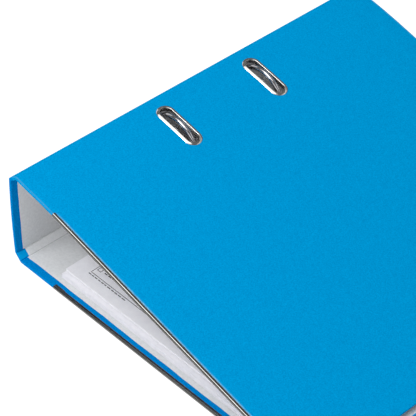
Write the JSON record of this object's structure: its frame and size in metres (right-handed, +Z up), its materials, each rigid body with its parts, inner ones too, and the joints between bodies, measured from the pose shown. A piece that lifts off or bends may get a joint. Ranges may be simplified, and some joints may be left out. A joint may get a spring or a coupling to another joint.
{
  "type": "lever arch file",
  "caption": "Shut A4 lever arch file lying on its back cover: covered board covers on folding creases, slotted front cover over two arches, lever, compressor bar and filed sheets.",
  "frame": {"origin": "middle of the footprint on the surface that the back cover lies on", "axes": "+X from the spine to the fore edge, +Y from the bottom edge with the rails to the top edge, +Z up through the front cover"},
  "size_m": [0.2872, 0.318, 0.075],
  "materials": {
    "covering_paper": "semi-matte coated paper with a fine grain",
    "greyboard": "raw board",
    "lining_paper": "uncoated paper",
    "edge_rail": "nickel plated",
    "slot_rim": "polished",
    "ring_metal": "polished wire",
    "plate_metal": "nickel plated sheet",
    "lever_metal": "nickel plated sheet",
    "filed_paper": "office paper",
    "label_paper": "smooth paper"
  },
  "bodies": {
    "back_cover": {"back_cover_covering": "covering_paper", "back_cover_board": "greyboard", "back_cover_lining": "lining_paper", "back_edge_rail": "edge_rail", "back_fold": "covering_paper", "base_plate": "plate_metal", "base_rivets": "plate_metal", "lower_post": "ring_metal", "upper_post": "ring_metal", "lever_pin": "lever_metal", "opening_spring": "plate_metal", "paper_lower_bundle": "filed_paper", "paper_upper_bundle": "filed_paper", "paper_top_sheet": "filed_paper"},
    "back_joint": {"back_joint_covering": "covering_paper", "back_joint_board": "greyboard", "back_joint_lining": "lining_paper", "spine_lower_fold": "covering_paper"},
    "spine": {"spine_covering": "covering_paper", "spine_board": "greyboard", "spine_lining": "lining_paper", "spine_label": "label_paper", "finger_ring": "slot_rim", "spine_upper_fold": "covering_paper"},
    "front_joint": {"front_joint_covering": "covering_paper", "front_joint_board": "greyboard", "front_joint_lining": "lining_paper", "front_fold": "covering_paper"},
    "front_cover": {"front_cover_covering": "covering_paper", "front_cover_board": "greyboard", "front_cover_lining": "lining_paper", "front_edge_rail": "edge_rail", "lower_slot_eyelet": "slot_rim", "upper_slot_eyelet": "slot_rim"},
    "arches": {"arch_wire": "ring_metal"},
    "lever": {"lever": "lever_metal", "roller_pin": "lever_metal"},
    "roller": {"roller": "lever_metal"},
    "compressor": {"compressor_bar": "plate_metal", "compressor_clips": "plate_metal"}
  },
  "joints": [
    {"name": "back_crease", "type": "hinge", "parent": "back_cover", "child": "back_joint", "pos_m": [-0.1356, 0, 0.00046], "axis": [0, -1, 0], "range_deg": [0, 45]},
    {"name": "spine_lower_crease", "type": "hinge", "parent": "back_joint", "child": "spine", "pos_m": [-0.14099, 0, 0.00585], "axis": [0, -1, 0], "range_deg": [0, 44.1]},
    {"name": "spine_upper_crease", "type": "hinge", "parent": "spine", "child": "front_joint", "pos_m": [-0.14201, 0, 0.06962], "axis": [0, -1, 0], "range_deg": [0, 55.4]},
    {"name": "front_crease", "type": "hinge", "parent": "front_joint", "child": "front_cover", "pos_m": [-0.13518, 0, 0.07447], "axis": [0, -1, 0], "range_deg": [0, 46.3]},
    {"name": "arch_pivot", "type": "hinge", "parent": "back_cover", "child": "arches", "pos_m": [-0.13365, 0, 0.0063], "axis": [0, -1, 0], "range_deg": [0, 40]},
    {"name": "lever_pivot", "type": "hinge", "parent": "back_cover", "child": "lever", "pos_m": [-0.11045, 0, 0.013], "axis": [0, 1, 0], "range_deg": [0, 60]},
    {"name": "roller_spin", "type": "hinge", "parent": "lever", "child": "roller", "pos_m": [-0.12005, 0, 0.0113], "axis": [0, 1, 0], "continuous": true},
    {"name": "compressor_slide", "type": "slide", "parent": "back_cover", "child": "compressor", "axis": [0, 0, 1], "range_m": [0, 0.025]}
  ],
  "couplings": [
    {"joint": "back_crease", "follows": "front_crease", "ratio": 0.97192},
    {"joint": "spine_lower_crease", "follows": "front_crease", "ratio": 0.95248},
    {"joint": "spine_upper_crease", "follows": "front_crease", "ratio": 1.1965},
    {"joint": "arch_pivot", "follows": "front_crease", "ratio": 0.86393},
    {"joint": "lever_pivot", "follows": "front_crease", "ratio": 1.2959}
  ]
}
